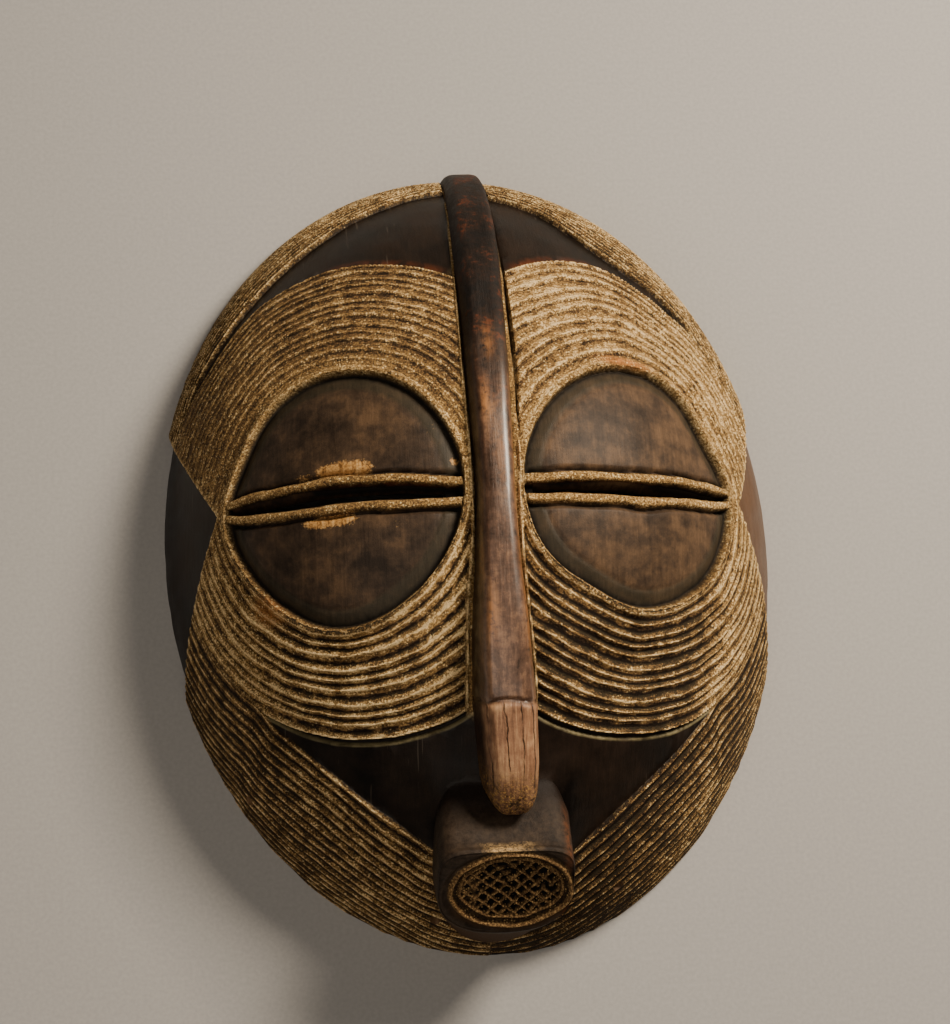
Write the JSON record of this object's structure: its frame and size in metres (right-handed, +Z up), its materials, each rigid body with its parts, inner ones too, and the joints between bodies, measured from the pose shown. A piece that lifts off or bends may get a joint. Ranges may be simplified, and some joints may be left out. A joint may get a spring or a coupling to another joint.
{
  "type": "carved wooden face mask",
  "caption": "Round domed face mask carved from wood, with grooved bands, slit eyes, a ridge nose and a jutting latticed mouth.",
  "frame": {"origin": "centre of the mask's box in plan, in the plane of the back rim that it lies on", "axes": "+Z up out of the face, +Y towards the crown, +X to the viewer's right"},
  "size_m": [0.3114, 0.4094, 0.1447],
  "materials": {
    "carved_wood": "dark oiled wood with ochre earth pigment in the grooves"
  },
  "bodies": {
    "root": {"mask": "carved_wood"}
  },
  "joints": []
}
